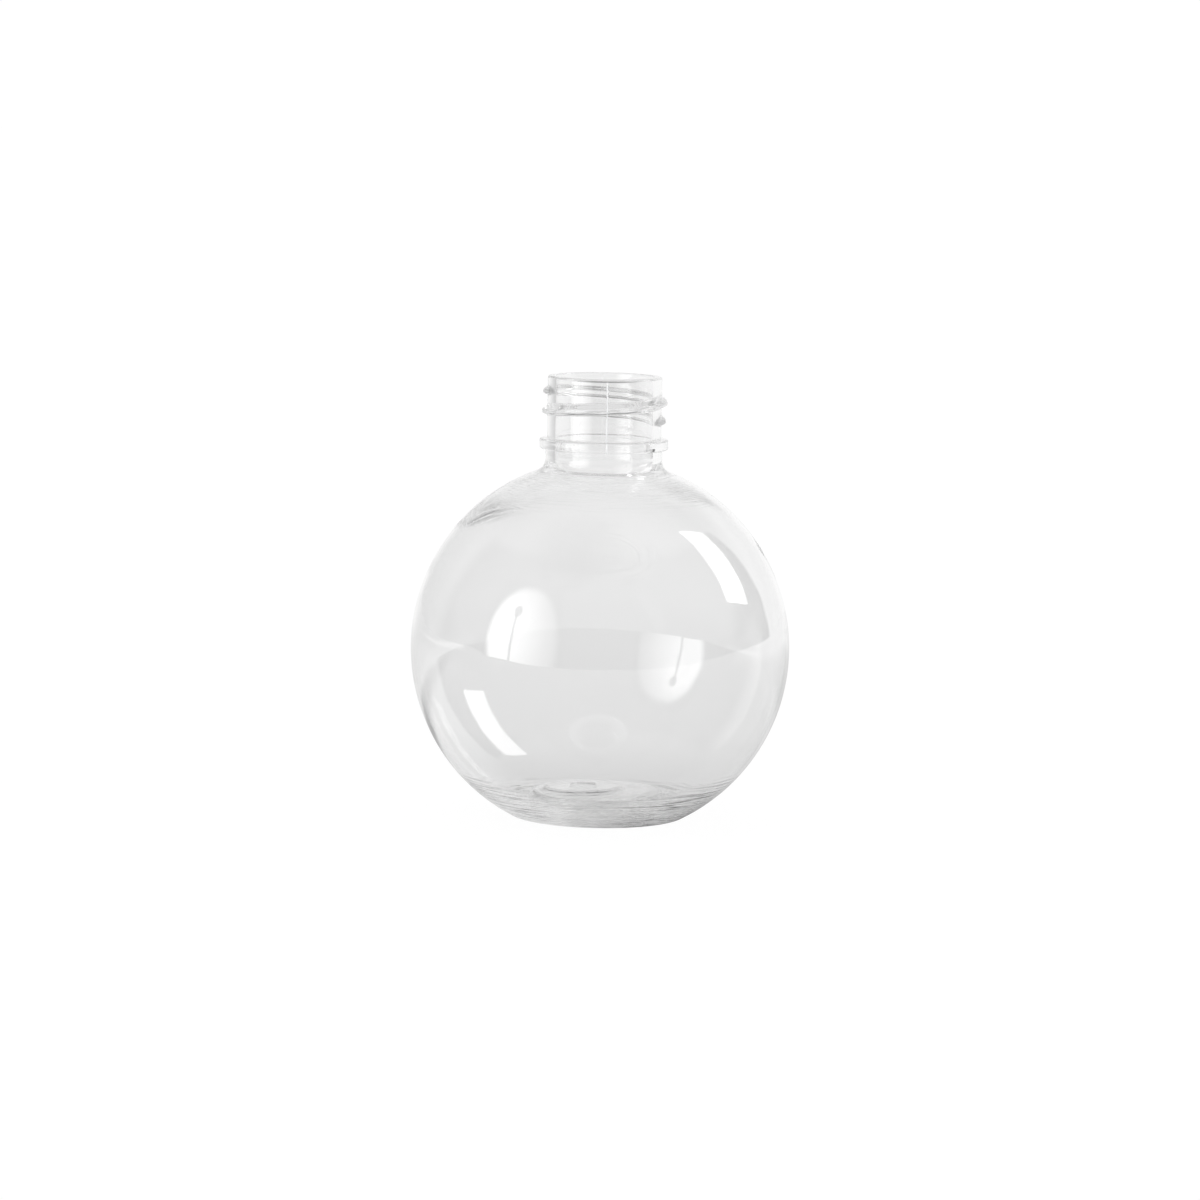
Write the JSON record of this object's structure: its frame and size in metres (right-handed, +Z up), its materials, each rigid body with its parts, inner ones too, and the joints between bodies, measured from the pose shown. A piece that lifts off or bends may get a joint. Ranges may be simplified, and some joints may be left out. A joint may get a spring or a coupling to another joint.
{
  "type": "pet bottle",
  "caption": "Clear ball-shaped PET bottle with a short open screw neck, a transfer bead and a small pushed-up base, for filling and capping.",
  "frame": {"origin": "centre of the ring that the bottle stands on, on the standing plane", "axes": "+Z up along the neck, out of the mouth; the parting plane of the blow mould is the YZ plane; the base's thick disc and gate mark lie off the axis towards -X"},
  "size_m": [0.083, 0.083, 0.0969],
  "materials": {
    "clear_pet": "clear, glossy, blow-moulded"
  },
  "bodies": {
    "root": {"bottle": "clear_pet"}
  },
  "joints": []
}
